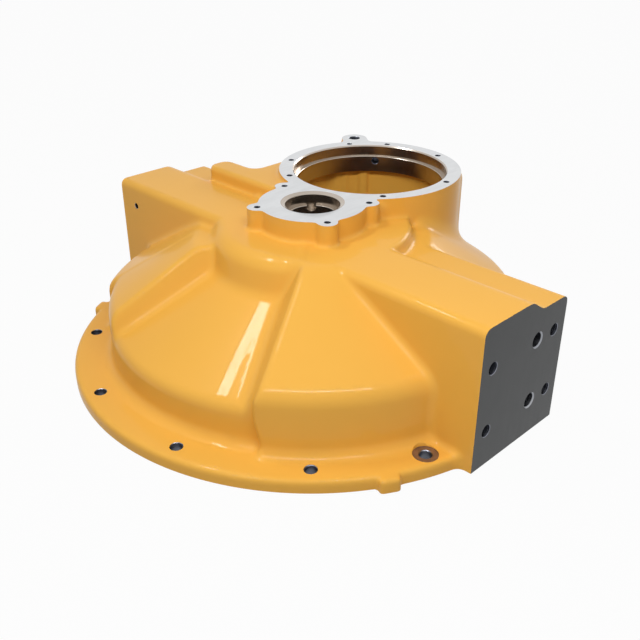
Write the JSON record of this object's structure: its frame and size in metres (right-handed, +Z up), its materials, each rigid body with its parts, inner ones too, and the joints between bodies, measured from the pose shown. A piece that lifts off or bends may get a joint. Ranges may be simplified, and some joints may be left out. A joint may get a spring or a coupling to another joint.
{
  "type": "gearbox housing",
  "caption": "Cast gearbox housing: a wide bell on a bolt flange, two box-shaped side arms with machined bolt pads, a round gear tower and a smaller hub flange on top.",
  "frame": {"origin": "centre of the bell axis on the machined bottom face of the flange", "axes": "+Z up along the bell axis, +X along the arms towards the pad with the longer reach, +Y towards the gear tower"},
  "size_m": [0.669, 0.671, 0.2135],
  "materials": {
    "housing": "glossy yellow-orange enamel on the cast skin; machined faces and bores bare"
  },
  "bodies": {
    "root": {"housing": "housing"}
  },
  "joints": []
}
